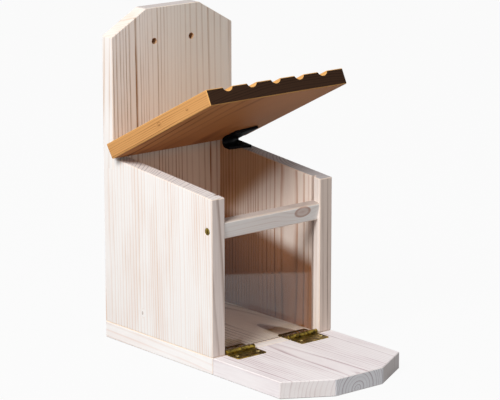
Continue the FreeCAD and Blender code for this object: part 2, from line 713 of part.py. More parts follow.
pieces = [
    base_board(),
    side_panel("left_side_panel", -1),
    side_panel("right_side_panel", 1),
    back_board(),
    front_rail(),
    window_pane(),
    roof_lid(),
    landing_board(),
]
pieces += butt_hinge("left", LEFT_HINGE_X)
pieces += butt_hinge("right", RIGHT_HINGE_X)
pieces += box_screws()
pieces += nailed_strip()

doc.recompute()
for item in doc.Objects:
    broken = {"Invalid", "Error"} & set(item.State)
    require(not broken, f"{item.Label} failed: {item.State}")
for piece in pieces:
    require(not piece.Shape.isNull() and piece.Shape.isValid(), f"{piece.Label} has no valid shape")

os.makedirs("parts", exist_ok=True)
for piece in pieces:
    piece.Shape.exportStep(os.path.join("parts", piece.Label + ".step"))
    solids = len(piece.Shape.Solids)
    print(f"{piece.Label}: {solids} solid, {piece.Shape.Volume / 1000:.2f} cm3")
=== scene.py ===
# %% [markdown]
# # A squirrel feeder box of whitewashed spruce
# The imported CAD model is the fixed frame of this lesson. It gives every wooden board, the clear pane,
# the lid and the brass hinges at their real size and place, in metres. Blender adds what CAD can't say:
# the camera, the light, the finishes, and the small soft or turned pieces that need more detail.

# %% Load the frame and keep its box
import json
import math

import bpy
from mathutils import Matrix, Vector


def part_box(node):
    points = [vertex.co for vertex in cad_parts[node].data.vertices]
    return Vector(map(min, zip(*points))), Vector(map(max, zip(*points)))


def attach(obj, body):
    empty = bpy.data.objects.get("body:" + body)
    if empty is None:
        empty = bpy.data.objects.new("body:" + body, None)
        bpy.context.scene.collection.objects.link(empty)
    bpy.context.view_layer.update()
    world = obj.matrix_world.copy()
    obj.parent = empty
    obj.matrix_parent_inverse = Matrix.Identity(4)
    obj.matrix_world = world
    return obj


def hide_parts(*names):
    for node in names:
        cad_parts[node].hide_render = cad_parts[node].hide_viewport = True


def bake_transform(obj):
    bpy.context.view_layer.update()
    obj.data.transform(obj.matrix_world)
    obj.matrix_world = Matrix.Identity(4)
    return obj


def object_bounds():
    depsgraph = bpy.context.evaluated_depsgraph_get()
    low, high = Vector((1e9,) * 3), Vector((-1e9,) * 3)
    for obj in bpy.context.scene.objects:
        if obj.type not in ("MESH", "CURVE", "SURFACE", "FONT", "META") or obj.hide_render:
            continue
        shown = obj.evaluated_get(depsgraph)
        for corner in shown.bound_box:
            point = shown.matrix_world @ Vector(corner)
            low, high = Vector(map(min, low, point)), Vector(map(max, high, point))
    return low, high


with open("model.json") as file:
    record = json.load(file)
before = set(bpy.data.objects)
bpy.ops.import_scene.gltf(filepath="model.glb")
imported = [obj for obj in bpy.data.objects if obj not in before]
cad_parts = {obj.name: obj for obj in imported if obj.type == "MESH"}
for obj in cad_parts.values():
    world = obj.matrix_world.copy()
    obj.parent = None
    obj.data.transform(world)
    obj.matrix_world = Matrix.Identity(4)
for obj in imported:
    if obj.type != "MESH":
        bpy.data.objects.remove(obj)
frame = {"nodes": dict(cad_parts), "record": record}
nodes = frame["nodes"]
scene = bpy.context.scene
cad_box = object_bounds()
MM = 0.001
print("CAD box in mm:", [[round(value / MM, 1) for value in corner] for corner in cad_box])

# %% [markdown]
# ## The camera
# The photograph was taken with a long lens from a little above the box and well to its left.
# The place, the direction and the focal length were worked out from the straight edges of the boards,
# whose real sizes are known. The small shift stands for a picture that was cropped off centre.

# %% The camera of the photograph
CAMERA_PLACE = (-1.8316, -2.2500, 0.8639)
CAMERA_TILT = math.radians(90 - 13.8146)
CAMERA_HEADING = math.radians(-40.047)
PHOTO_WIDTH = 500
FOCAL_PIXELS = 2668.9
SENSOR_WIDTH = 36
CROP_RIGHT = -8.1
CROP_UP = 12.07

camera_data = bpy.data.cameras.new("photo_camera")
camera = bpy.data.objects.new("photo_camera", camera_data)
scene.collection.objects.link(camera)
camera.location = CAMERA_PLACE
camera.rotation_euler = (CAMERA_TILT, 0, CAMERA_HEADING)
camera_data.sensor_width = SENSOR_WIDTH
camera_data.lens = FOCAL_PIXELS / PHOTO_WIDTH * SENSOR_WIDTH
camera_data.shift_x = CROP_RIGHT / PHOTO_WIDTH
camera_data.shift_y = CROP_UP / PHOTO_WIDTH
scene.camera = camera
print("lens in mm:", round(camera_data.lens, 1))

# %% [markdown]
# ## Three small helpers
# Colours are written as sRGB hex codes, as a paint shop or a picture editor gives them, and one function
# turns them into the linear values that Blender's sockets take. A second function adds a shader node,
# sets it up and links it, so that each finish below reads from top to bottom like a recipe. A third
# starts a material, with its constant values on the shader's own sockets.

# %% Colour and node helpers
# a Mix node has sockets A and B for every type, so the ones for colours are reached by number
MIX_A, MIX_B, MIXED = 6, 7, 2


def colour(code):
    """Linear RGBA of an sRGB hex code such as "c8a070"."""
    channels = [int(code[start:start + 2], 16) / 255 for start in (0, 2, 4)]
    linear = [c / 12.92 if c <= 0.04045 else ((c + 0.055) / 1.055) ** 2.4 for c in channels]
    return (*linear, 1)


def add_node(tree, kind, inputs=None, **settings):
    """Adds a node; inputs maps a socket's name or number to a value or to the socket that feeds it."""
    node = tree.nodes.new("ShaderNode" + kind)
    for name, value in settings.items():
        setattr(node, name, value)
    for key, value in (inputs or {}).items():
        if isinstance(value, bpy.types.NodeSocket):
            tree.links.new(value, node.inputs[key])
        else:
            node.inputs[key].default_value = value
    return node


def new_material(name, **surface):
    """A material, its node tree and its Principled BSDF with these values."""
    material = bpy.data.materials.new(name)
    material.use_nodes = True
    shader = material.node_tree.nodes["Principled BSDF"]
    for key, value in surface.items():
        shader.inputs[key.replace("_", " ")].default_value = value
    return material, material.node_tree, shader


# %% [markdown]
# ## Floor, backdrop and light
# The photograph has a pure white surround. The world and the floor show white to the camera, in
# reflections and through the pane, without throwing that much light on the wood. One large soft lamp
# stands high on the left, where the light of the photograph comes from, and the world fills the shadows.

# %% Which rays see the white surround
def seen_directly(tree):
    """1 for the rays that look at the surround, straight or in a mirror or through glass."""
    path = add_node(tree, "LightPath")
    seen = add_node(tree, "Math", {0: path.outputs["Is Camera Ray"], 1: path.outputs["Is Glossy Ray"]},
                    operation="MAXIMUM")
    return add_node(tree, "Math", {0: seen.outputs[0], 1: path.outputs["Is Transmission Ray"]},
                    operation="MAXIMUM").outputs[0]


# %% The world
scene.view_settings.view_transform = "Standard"
FILL_LEVEL = 0.30
world = bpy.data.worlds.new("white_studio")
scene.world = world
world.use_nodes = True
level = add_node(world.node_tree, "MapRange", {
    "Value": seen_directly(world.node_tree), "To Min": FILL_LEVEL, "To Max": 1.0})
background = world.node_tree.nodes["Background"]
background.inputs["Color"].default_value = (1, 1, 1, 1)
world.node_tree.links.new(level.outputs["Result"], background.inputs["Strength"])
print("world fills the shadows at", FILL_LEVEL)

# %% The floor keeps a trace of its shadows, so it isn't quite white to the camera
FLOOR_SIZE = 12
FLOOR_GREY = (0.32, 0.32, 0.32, 1)
WHITENING = 0.95
bpy.ops.object.select_all(action="DESELECT")
bpy.ops.mesh.primitive_plane_add(size=FLOOR_SIZE, location=(0, 0, cad_box[0].z))
floor = bpy.context.object
floor.name = "white_floor"
floor_material, floor_tree, floor_shader = new_material(
    "white_paper_floor", Roughness=1.0, Specular_IOR_Level=0.0, Base_Color=FLOOR_GREY)
glow = add_node(floor_tree, "Emission", {"Color": (1, 1, 1, 1), "Strength": 1.0})
share = add_node(floor_tree, "Math", {0: seen_directly(floor_tree), 1: WHITENING}, operation="MULTIPLY")
mix = add_node(floor_tree, "MixShader", {
    0: share.outputs[0], 1: floor_shader.outputs[0], 2: glow.outputs[0]})
floor_tree.links.new(mix.outputs[0], floor_tree.nodes["Material Output"].inputs["Surface"])
floor.data.materials.append(floor_material)
print("floor at z", round(cad_box[0].z, 4))

# %% The soft lamp
LAMP_DIRECTION = Vector((-0.733, -0.229, 0.641)).normalized()
LAMP_DISTANCE = 2.6
LAMP_SIZE = 1.1
LAMP_POWER = 66.7
aim = (cad_box[0] + cad_box[1]) / 2
lamp_data = bpy.data.lights.new("softbox", "AREA")
lamp_data.shape = "DISK"
lamp_data.size = LAMP_SIZE
lamp_data.energy = LAMP_POWER
lamp = bpy.data.objects.new("softbox", lamp_data)
scene.collection.objects.link(lamp)
lamp.location = aim + LAMP_DIRECTION * LAMP_DISTANCE
lamp.rotation_euler = LAMP_DIRECTION.to_track_quat("Z", "Y").to_euler()
print("lamp at", [round(value, 2) for value in lamp.location])

# %% [markdown]
# ## Spruce is a solid pattern
# A tree's rings are tubes around its pith, and a board is a straight cut through them. So the finish works
# out each point's distance from the pith, in millimetres, bends it with slow noise, and turns it into pale
# early wood and a thin dark line of late wood. The same numbers draw lines along the faces, flames where
# the pith leans, and arcs on the end grain, without a seam at any edge. Each board has its own pith.

# %% A board's own coordinates, in millimetres, with the grain along Z
ALONG_X = (0, math.radians(-90), 0)
ALONG_Y = (math.radians(90), 0, 0)
ALONG_Z = (0, 0, 0)


def board_place(tree, turn):
    """The point and the face's direction, both turned so that the grain runs along Z."""
    place = add_node(tree, "TexCoord")
    point = add_node(tree, "Mapping", {
        "Vector": place.outputs["Object"], "Scale": (1 / MM,) * 3, "Rotation": turn})
    facing = add_node(tree, "Mapping", {"Vector": place.outputs["Normal"], "Rotation": turn},
                      vector_type="VECTOR")
    return point.outputs[0], facing.outputs[0]


# %% Grey stops of a colour ramp
def set_greys(ramp, greys):
    """Fills a ColorRamp node with pairs of position and grey, listed from position 0 to 1."""
    stops = ramp.color_ramp.elements
    for stop, (position, grey) in zip(stops, (greys[0], greys[-1])):
        stop.position, stop.color = position, (grey, grey, grey, 1)
    for position, grey in greys[1:-1]:
        stops.new(position).color = (grey, grey, grey, 1)


# %% Knots: a branch bends the rings round itself, and is cut to a paler middle in a dark rim
KNOT_GREYS = ((0.0, 0.7), (0.55, 0.5), (0.8, 1.0), (0.88, 0.9), (1.0, 0.0))
BEND_WITHIN = (0.5, 3.5)
KNOT_YEARS = 1.6


def knot_marks(tree, point, knots):
    """Two sums over the knots: the pull on the rings near them, and how dark each spot is. A knot is its
    centre and its reach along each axis in mm, and the pull dies out between two multiples of the reach."""
    pull, spot = None, None
    for centre, reach in knots:
        near = add_node(tree, "Mapping", {
            "Vector": point, "Scale": [1 / size for size in reach],
            "Location": [-value / size for value, size in zip(centre, reach)]})
        away = add_node(tree, "VectorMath", {0: near.outputs[0]}, operation="LENGTH")
        bend = add_node(tree, "MapRange", {
            "Value": away.outputs["Value"], "From Min": BEND_WITHIN[0], "From Max": BEND_WITHIN[1],
            "To Min": 1.0, "To Max": 0.0}, interpolation_type="SMOOTHSTEP")
        core = add_node(tree, "ValToRGB", {"Fac": away.outputs["Value"]})
        set_greys(core, KNOT_GREYS)
        pull, spot = [
            add_node(tree, "Math", {0: new.outputs[0], 1: old if old else 0.0}, operation="ADD").outputs[0]
            for new, old in ((bend, pull), (core, spot))]
    return pull, spot


# %% Year rings: the distance from the pith, in years, and the late wood at the end of each
SWAY_SCALE = (1 / 70, 1 / 70, 1 / 290)
SEASON_SCALE = 1 / 23
SEASON_YEARS = 3.0
LATE_GREYS = ((0.0, 0.35), (0.08, 0.0), (0.68, 0.04), (0.84, 0.6), (0.93, 1.0), (1.0, 0.75))
FAINTEST_YEAR = 0.35


def year_rings(tree, point, pith, lean, year, sway, pull):
    """Late wood from 0 to 1. Year is a ring's width and sway how far the rings wander, in mm."""
    log = add_node(tree, "Mapping", {
        "Vector": point, "Location": (-pith[0], -pith[1], 0), "Rotation": (*lean, 0)})
    slow = add_node(tree, "Mapping", {"Vector": point, "Scale": SWAY_SCALE})
    waves = add_node(tree, "TexNoise", {"Vector": slow.outputs[0], "Scale": 1.0, "Detail": 2.0})
    swayed = add_node(tree, "VectorMath", {
        0: waves.outputs["Color"], 1: (sway, sway, 0), 2: log.outputs[0]}, operation="MULTIPLY_ADD")
    across = add_node(tree, "VectorMath", {0: swayed.outputs[0], 1: (1, 1, 0)}, operation="MULTIPLY")
    distance = add_node(tree, "VectorMath", {0: across.outputs[0]}, operation="LENGTH").outputs["Value"]
    if pull:
        distance = add_node(tree, "Math", {0: pull, 1: KNOT_YEARS * year, 2: distance},
                            operation="MULTIPLY_ADD").outputs[0]
    # good and bad years come in runs of a few centimetres
    seasons = add_node(tree, "Math", {0: distance, 1: SEASON_SCALE}, operation="MULTIPLY")
    weather = add_node(tree, "TexNoise", {"W": seasons.outputs[0], "Scale": 1.0, "Detail": 1.0},
                       noise_dimensions="1D")
    count = add_node(tree, "Math", {0: distance, 1: 1 / year}, operation="MULTIPLY")
    years = add_node(tree, "Math", {0: weather.outputs["Fac"], 1: SEASON_YEARS, 2: count.outputs[0]},
                     operation="MULTIPLY_ADD")
    part = add_node(tree, "Math", {0: years.outputs[0]}, operation="FRACT")
    late = add_node(tree, "ValToRGB", {"Fac": part.outputs[0]})
    set_greys(late, LATE_GREYS)
    # no two years leave the same line
    number = add_node(tree, "Math", {0: years.outputs[0]}, operation="FLOOR")
    dice = add_node(tree, "TexWhiteNoise", {"W": number.outputs[0]}, noise_dimensions="1D")
    weight = add_node(tree, "MapRange", {
        "Value": dice.outputs["Value"], "To Min": FAINTEST_YEAR, "To Max": 1.0})
    return add_node(tree, "Math", {0: late.outputs["Color"], 1: weight.outputs[0]},
                    operation="MULTIPLY").outputs[0]


# %% A face coloured otherwise than the rest of its board: some faces have another finish, some painted shade
def other_face(tree, point, facing, amount, face, side, wash, line, gain=1.0, fade=None):
    """Repaints the face that looks in the direction side. Gain strengthens its lines, and fade names a
    direction and the two distances in mm between which the first finish takes over again."""
    toward = add_node(tree, "VectorMath", {0: facing, 1: side}, operation="DOT_PRODUCT")
    share = add_node(tree, "Math", {0: toward.outputs["Value"], 1: 0.5}, operation="GREATER_THAN")
    if fade:
        along, start, end = fade
        way = add_node(tree, "VectorMath", {0: point, 1: along}, operation="DOT_PRODUCT")
        kept = add_node(tree, "MapRange", {
            "Value": way.outputs["Value"], "From Min": start, "From Max": end, "To Min": 1.0, "To Max": 0.0},
            interpolation_type="SMOOTHSTEP")
        share = add_node(tree, "Math", {0: share.outputs[0], 1: kept.outputs[0]}, operation="MULTIPLY")
    strong = add_node(tree, "Math", {0: amount, 1: gain}, operation="MULTIPLY", use_clamp=True)
    other = add_node(tree, "Mix", {
        0: strong.outputs[0], MIX_A: colour(wash), MIX_B: colour(line)}, data_type="RGBA")
    return add_node(tree, "Mix", {
        0: share.outputs[0], MIX_A: face, MIX_B: other.outputs[MIXED]}, data_type="RGBA").outputs[MIXED]


# %% [markdown]
# ## The finish on the board
# The maker brushed a thin white wash over planed boards. It lies thicker in some places than in others,
# lets the late wood show through as orange lines, and soaks in grey on the end grain. The faces inside the
# box stayed bare, so they keep the warm colour of the wood. Planing and handling wear the wash off the
# narrow arrises. One function mixes these, and each board chooses its own colours.

# %% Fibres and the cloudy wash: two noises, each stretched along the grain
FIBRE_SCALE = (0.9, 0.9, 0.03)
CLOUD_SCALE = (1 / 30, 1 / 30, 1 / 120)


def stretched_noise(tree, point, scale):
    """Noise with a size in mm of one over the scale along each axis."""
    stretched = add_node(tree, "Mapping", {"Vector": point, "Scale": scale})
    noise = add_node(tree, "TexNoise", {"Vector": stretched.outputs[0], "Scale": 1.0, "Detail": 3.0})
    return noise.outputs["Fac"]


# %% End grain and arrises: worn, and on the lid partly a painted highlight
END_FACING = 0.9
FLAT_FACING = 0.95


def ends_and_arrises(tree, facing, clouds, face, end, arris):
    """End grain where the face looks along the grain, and the arris colour where it looks along no axis:
    worn wood, on the lid partly a painted highlight.
    """
    sizes = add_node(tree, "VectorMath", {0: facing}, operation="ABSOLUTE")
    parts = add_node(tree, "SeparateXYZ", {0: sizes.outputs[0]})
    is_end = add_node(tree, "Math", {0: parts.outputs["Z"], 1: END_FACING}, operation="GREATER_THAN")
    ended = add_node(tree, "Mix", {0: is_end.outputs[0], MIX_A: face, MIX_B: end}, data_type="RGBA")
    widest = add_node(tree, "Math", {0: parts.outputs["X"], 1: parts.outputs["Y"]}, operation="MAXIMUM")
    widest = add_node(tree, "Math", {0: widest.outputs[0], 1: parts.outputs["Z"]}, operation="MAXIMUM")
    on_arris = add_node(tree, "Math", {0: widest.outputs[0], 1: FLAT_FACING}, operation="LESS_THAN")
    # on the lid this mask carries a painted highlight as well as wear
    rubbed = add_node(tree, "Math", {0: on_arris.outputs[0], 1: clouds}, operation="MULTIPLY")
    return add_node(tree, "Mix", {
        0: rubbed.outputs[0], MIX_A: ended.outputs[MIXED], MIX_B: arris}, data_type="RGBA").outputs[MIXED]


# %% The raw wall of a hole bored along Y
def bored(tree, point, face, raw, x, z, radius):
    """Raw wood within the radius round the point x, z of the board, in mm."""
    offset = add_node(tree, "VectorMath", {0: point, 1: (x, 0, z)}, operation="SUBTRACT")
    offset = add_node(tree, "VectorMath", {0: offset.outputs[0], 1: (1, 0, 1)}, operation="MULTIPLY")
    offset = add_node(tree, "VectorMath", {0: offset.outputs[0]}, operation="LENGTH")
    in_bore = add_node(tree, "Math", {0: offset.outputs["Value"], 1: radius}, operation="LESS_THAN")
    return add_node(tree, "Mix", {
        0: in_bore.outputs[0], MIX_A: face, MIX_B: raw}, data_type="RGBA").outputs[MIXED]


# %% Wood with its wash
KNOT_DARKNESS = 0.8
BUMP_HEIGHT = 0.1 * MM


def board_wood(name, turn, pith, lean=(0, 0), year=4.0, sway=7.0, wash="f9f5f2", line="c48f66",
               strength=0.6, blush="f2e6e0", end_wash="ded4cf", end_line="a8928b", arris="eedbc8",
               faces=(), bores=(), raw="c9a27c", knots=(), knot="8a5a34", roughness=0.6, gloss=0.18):
    """Planed softwood. Pith is the place of the tree's middle across the grain in mm, and lean its tilt.
    Faces are coloured otherwise, some with another finish and some with painted shade, and bores are holes
    along Y with raw walls."""
    material, tree, shader = new_material(name, Roughness=roughness, Specular_IOR_Level=gloss)
    point, facing = board_place(tree, turn)
    pull, spot = knot_marks(tree, point, knots)
    lines = year_rings(tree, point, pith, lean, year, sway, pull)
    fibres = stretched_noise(tree, point, FIBRE_SCALE)
    clouds = stretched_noise(tree, point, CLOUD_SCALE)

    # lines and fibres show most where the wash is thin
    shown = add_node(tree, "MapRange", {
        "Value": clouds, "From Min": 0.40, "From Max": 0.62, "To Min": 0.4 * strength, "To Max": strength})
    streak = add_node(tree, "MapRange", {
        "Value": fibres, "From Min": 0.35, "From Max": 0.75, "To Min": 0.0, "To Max": 0.15})
    marks = add_node(tree, "Math", {0: lines, 1: streak.outputs[0]}, operation="ADD")
    amount = add_node(tree, "Math", {0: marks.outputs[0], 1: shown.outputs[0]}, operation="MULTIPLY",
                      use_clamp=True)

    # broad bands where more heartwood glows through
    band = add_node(tree, "MapRange", {
        "Value": clouds, "From Min": 0.45, "From Max": 0.7, "To Min": 0.0, "To Max": 0.6})
    ground = add_node(tree, "Mix", {
        0: band.outputs[0], MIX_A: colour(wash), MIX_B: colour(blush)}, data_type="RGBA")
    washed = add_node(tree, "Mix", {
        0: amount.outputs[0], MIX_A: ground.outputs[MIXED], MIX_B: colour(line)}, data_type="RGBA")
    face = washed.outputs[MIXED]
    for look in faces:
        face = other_face(tree, point, facing, amount.outputs[0], face, **look)

    # end grain, arrises, knots and bores, each over what came before
    open_pores = add_node(tree, "Math", {0: lines, 1: streak.outputs[0]}, operation="ADD", use_clamp=True)
    end = add_node(tree, "Mix", {
        0: open_pores.outputs[0], MIX_A: colour(end_wash), MIX_B: colour(end_line)}, data_type="RGBA")
    face = ends_and_arrises(tree, facing, clouds, face, end.outputs[MIXED], colour(arris))
    if spot:
        dark = add_node(tree, "Math", {0: spot, 1: KNOT_DARKNESS}, operation="MULTIPLY", use_clamp=True)
        face = add_node(tree, "Mix", {
            0: dark.outputs[0], MIX_A: face, MIX_B: colour(knot)}, data_type="RGBA").outputs[MIXED]
    for x, z, radius in bores:
        face = bored(tree, point, face, colour(raw), x, z, radius)
    tree.links.new(face, shader.inputs["Base Color"])

    # the plane leaves the hard late wood a hair prouder than the soft early wood
    relief = add_node(tree, "Math", {0: fibres, 1: lines}, operation="ADD")
    bump = add_node(tree, "Bump", {"Height": relief.outputs[0], "Strength": 0.35, "Distance": BUMP_HEIGHT})
    tree.links.new(bump.outputs[0], shader.inputs["Normal"])
    return material


def dress(name, material):
    """Gives a CAD node its finish."""
    nodes[name].data.materials.clear()
    nodes[name].data.materials.append(material)
    print(name, "wears", material.name)


# %% [markdown]
# ## Board by board
# The side panels were cut beside the pith, so the lines of the left one crowd toward its front edge, and
# those of the right one toward both edges. The back board was cut far from the pith, with strong lines on
# the left that fade into quiet wood on the right. The landing board was cut just above it, so its top shows
# long flames and its end shows full arcs. Inside the box the wood looks darker and redder low down and in
# the upper rear corner, where little light comes. Part of that shade is painted into the wood's colour, as
# patches with soft borders. The front faces of the side panels and the back board are painted a little
# greyer than their sides, partly as shade, and the rail's top is painted darker than its front, as shade.

# %% Where a patch on a panel ends: a direction, and two distances along it in mm; the first two bound painted shade
# painted shade in the upper rear corner inside, under the lid
PAINTED_SHADE_UPPER_REAR = ((0, -0.64, -0.77), -150, -128)
# painted shade low down inside the box
PAINTED_SHADE_LOW_DOWN = ((0, -0.2, 1), 105, 127)
BEFORE_PANE = ((0, 1, 0), -84, -81)

# %% Side panels
TOWARD_FRONT = (0, -1, 0)
LEFT_KNOT = ((-86, 27.4, 43), (60, 1.3, 2.2))
dress("left_side_panel", board_wood(
    "whitewashed_spruce_left_side", ALONG_Z, pith=(-150, 125), lean=(0.026, 0), year=3.9, line="d4a070",
    strength=0.75, sway=4.5, end_wash="f3ece8", end_line="a9a0a4", knots=[LEFT_KNOT], knot="a08a80",
    # inside, the first two patches are painted shade
    faces=[{"side": (1, 0, 0), "wash": "cda07a", "line": "8a4f28", "fade": PAINTED_SHADE_UPPER_REAR},
           {"side": (1, 0, 0), "wash": "9c7052", "line": "6a3f20", "fade": PAINTED_SHADE_LOW_DOWN},
           # the front face is painted greyer than the sides, partly as shade, and has stronger lines
           {"side": TOWARD_FRONT, "wash": "eee0d9", "line": "9a7e70", "gain": 1.6}]))
dress("right_side_panel", board_wood(
    "whitewashed_spruce_right_side", ALONG_Z, pith=(130, -40), year=3.8, line="a8744c", blush="efdccf",
    strength=1.0, end_wash="c9c3c2", end_line="8d8384", gloss=0.08,
    faces=[{"side": (-1, 0, 0), "wash": "fff0e4", "line": "b87848", "gain": 1.6},
           # inside, the next two patches are painted shade
           {"side": (-1, 0, 0), "wash": "d8b08c", "line": "93501f", "gain": 1.3, "fade": PAINTED_SHADE_UPPER_REAR},
           {"side": (-1, 0, 0), "wash": "a06a44", "line": "6a3f20", "gain": 1.5, "fade": PAINTED_SHADE_LOW_DOWN},
           {"side": (-1, 0, 0), "wash": "f3e8e0", "line": "b89a84", "fade": BEFORE_PANE},
           # the front face is painted greyer than the sides, partly as shade, and has stronger lines
           {"side": TOWARD_FRONT, "wash": "ead8cc", "line": "a08a7f", "gain": 1.3}]))

# %% Back board, with raw wood in its two hanging holes
hanging_holes = next(mount for mount in frame["record"]["mounts"] if mount["name"] == "hanging_holes")
hole_x = hanging_holes["dims"]["spacing_x_mm"] / 2
hole_z = hanging_holes["pos_m"][2] / MM
RAW_MARGIN = 0.1
raw_radius = hanging_holes["dims"]["hole_r_mm"] + RAW_MARGIN
STRONG_LEFT = ((1, 0, 0), -45, 60)
QUIET_RIGHT = ((-1, 0, 0), -30, 75)
INSIDE_BOX = ((0, 0, 1), 198, 222)
dress("back_board", board_wood(
    "whitewashed_spruce_back", ALONG_Z, pith=(110, 170), lean=(0, 0.012), year=4.3, strength=0.8,
    sway=4.0, line="c39a72", end_line="9a8f92",
    # the front face is painted greyer than the sides, most on the right, partly as shade
    faces=[{"side": TOWARD_FRONT, "wash": "f5efeb", "line": "8c6236", "gain": 1.7, "fade": STRONG_LEFT},
           {"side": TOWARD_FRONT, "wash": "e7e2db", "line": "ab8f7a", "fade": QUIET_RIGHT},
           {"side": TOWARD_FRONT, "wash": "ffe6d2", "line": "a8642e", "gain": 1.4, "fade": INSIDE_BOX}],
    bores=[(side * hole_x, hole_z, raw_radius) for side in (-1, 1)]))
print("hanging holes at", (round(hole_x, 1), round(hole_z, 1)), "mm")

# %% Base, in its own coordinates, where up is -Y and the depth runs along Z
BASE_UP = (0, -1, 0)
BASE_BEFORE_PANE = ((0, 0, 1), -86, -83)
dress("base_board", board_wood(
    "whitewashed_spruce_base", ALONG_Y, pith=(40, 60), lean=(0.02, 0.03), strength=0.45, line="e0b298",
    wash="fffcfa", blush="f9f0ec",
    faces=[{"side": BASE_UP, "wash": "fff0de", "line": "7a4c2e", "gain": 3.2},
           {"side": BASE_UP, "wash": "f6eee8", "line": "b89a84", "fade": BASE_BEFORE_PANE}]))

# %% Rail and landing board; in the rail's own coordinates up is -X
RAIL_UP = (-1, 0, 0)
RAIL_KNOT = ((-161.5, -95, 44.3), (6.5, 60, 12.5))
dress("front_rail", board_wood(
    "whitewashed_spruce_rail", ALONG_X, pith=(200, -90), lean=(0.03, 0.02), strength=0.45,
    line="cfae9c", wash="fffaf6", blush="fdf2ec", knots=[RAIL_KNOT], knot="ba8e7a",
    # the top is painted darker than the front, as shade
    faces=[{"side": RAIL_UP, "wash": "c2b3ab", "line": "a08a7c"}]))
dress("landing_board", board_wood(
    "whitewashed_spruce_landing", ALONG_Y, pith=(2, 9), lean=(0.03, 0), strength=0.85, sway=9.0,
    wash="f9f3f3", line="9d747c", blush="efe5e7", end_wash="fafafd", end_line="c0b4ba", arris="f2eae6"))

# %% [markdown]
# ## The oiled lid
# The lid is the same spruce under a honey brown oil. Oil darkens the open end grain almost to brown black,
# because it soaks in there, and leaves the faces nearly matt. The underside is painted darker and redder,
# as shade, and the bright yellow arrises are partly wear and partly a painted highlight. The lid stands
# open, so its grain is turned by the angle of the opening.

# %% Lid, whose underside looks along Y in its own coordinates
LID_OPENING = math.radians(26.57)
ALONG_LID = (math.radians(90) + LID_OPENING, 0, 0)
LID_KNOTS = (((-96.5, -229.6, -136.3), (3, 1.0, 2.2)), ((-96.5, -229.5, -190.8), (3, 0.9, 2.0)))
dress("roof_lid", board_wood(
    "honey_oiled_spruce_lid", ALONG_LID, pith=(40, 320), year=2.9, strength=1.0,
    # the bright yellow arris is partly wear and partly a painted highlight
    wash="d39c5e", line="7d4820", blush="c68b4c", end_wash="3d2a1e", end_line="22150d", arris="f2bd70",
    knots=LID_KNOTS, knot="6a3c1c", roughness=0.55, gloss=0.04,
    # the underside is painted darker and redder, as shade
    faces=[{"side": (0, 1, 0), "wash": "c18353", "line": "7d4826", "gain": 1.3},
           {"side": (-1, 0, 0), "wash": "d79f63", "line": "7d4820", "gain": 1.3}]))

# %% [markdown]
# ## Brass, zinc and steel
# The butt hinges are thin rolled brass under a dull olive film with bright places where it is rubbed. The
# film is partly tarnish from outdoors and partly a painted dark reflection. Their screws are brass too,
# rubbed brighter by the driver. The screws in the base are steel with a yellow zinc coat, and the clout
# nails bare zinc, which looks grey and a little blotched.

# %% Metal with a thin uneven film
def filmed_metal(name, bright, film, cover, patch, roughness):
    """Bright metal under a film. Cover is how much of it the film hides, and patch its spots' size in mm."""
    material, tree, shader = new_material(name, Metallic=1.0)
    place = add_node(tree, "TexCoord")
    spots = add_node(tree, "Mapping", {"Vector": place.outputs["Object"], "Scale": (1 / MM / patch,) * 3})
    noise = add_node(tree, "TexNoise", {"Vector": spots.outputs[0], "Scale": 1.0, "Detail": 4.0})
    # the more the film covers, the lower the noise from which it hides the metal
    hidden = add_node(tree, "MapRange", {
        "Value": noise.outputs["Fac"], "From Min": 0.65 - 0.5 * cover, "From Max": 0.95 - 0.5 * cover})
    look = add_node(tree, "Mix", {
        0: hidden.outputs[0], MIX_A: colour(bright), MIX_B: colour(film)}, data_type="RGBA")
    tree.links.new(look.outputs[MIXED], shader.inputs["Base Color"])
    rough = add_node(tree, "MapRange", {
        "Value": hidden.outputs[0], "To Min": roughness, "To Max": roughness + 0.25})
    tree.links.new(rough.outputs[0], shader.inputs["Roughness"])
    bump = add_node(tree, "Bump", {
        "Height": noise.outputs["Fac"], "Strength": 0.2, "Distance": BUMP_HEIGHT})
    tree.links.new(bump.outputs[0], shader.inputs["Normal"])
    return material


# %% The four metals
# the dark olive film on this brass is partly tarnish and partly a painted dark reflection
brass = filmed_metal("tarnished_rolled_brass", "a88f3e", "43361a", cover=0.6, patch=5.0, roughness=0.25)
rubbed_brass = filmed_metal("rubbed_brass", "d8c486", "5a4a22", cover=0.25, patch=2.0, roughness=0.25)
yellow_zinc = filmed_metal(
    "yellow_zinc_coated_steel", "a8985a", "6b5c30", cover=0.4, patch=2.0, roughness=0.3)
bare_zinc = filmed_metal("zinc_coated_steel", "b4b6b8", "7c7e80", cover=0.4, patch=3.0, roughness=0.35)
for side in ("left", "right"):
    for part in ("hinge_base_leaf", "hinge_landing_leaf", "hinge_pin"):
        dress(f"{side}_{part}", brass)
for name in ("right_panel_nails", "right_lid_nails"):
    dress(name, bare_zinc)

# %% [markdown]
# ## Wood screws
# The rail is held by two countersunk brass screws with a cross recess, the base by steel ones, and the hinge
# leaves by small brass ones, whose heads are flat under the pane and a little domed in front of it. A screw
# is turned, so it could be spun from half of its outline. Here one disc is extruded and scaled step by step
# instead, which is easier to read, and the thread is a small triangle that the Screw modifier winds round
# the shank. The cross is cut by a Boolean.

# %% Select by place, apply and join
SOFT_BELOW = math.radians(40)


